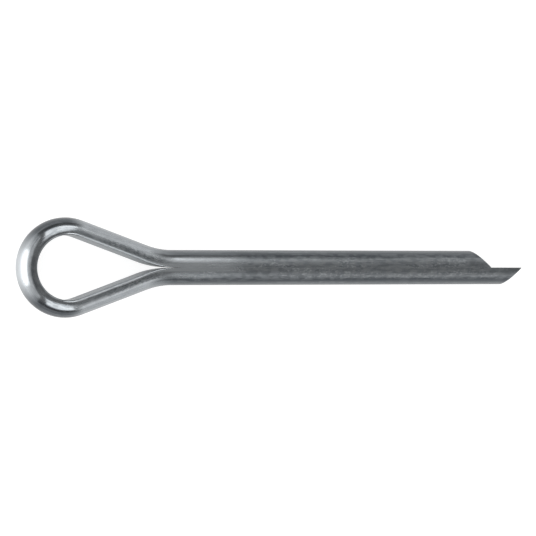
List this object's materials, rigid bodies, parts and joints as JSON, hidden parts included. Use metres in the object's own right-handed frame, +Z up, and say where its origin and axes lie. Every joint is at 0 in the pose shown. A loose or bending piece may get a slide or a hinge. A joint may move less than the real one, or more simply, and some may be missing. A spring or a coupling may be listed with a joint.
{
  "type": "cotter pin",
  "caption": "Split retaining pin folded from half-round wire, with an open eye, a round shank, one prong longer than the other and slant-cut tips.",
  "frame": {"origin": "on the shank's axis at the throat, where the straight round shank begins", "axes": "+X along the shank towards its tips, +Y to the short prong in the plane of the eye, +Z up through the eye; the pin lies flat on its side"},
  "size_m": [0.0582, 0.0106, 0.0038],
  "materials": {
    "zinc_steel": "bright zinc plate on drawn steel wire, with fine drawing lines along the wire"
  },
  "bodies": {
    "root": {"cotter_pin": "zinc_steel"}
  },
  "joints": []
}
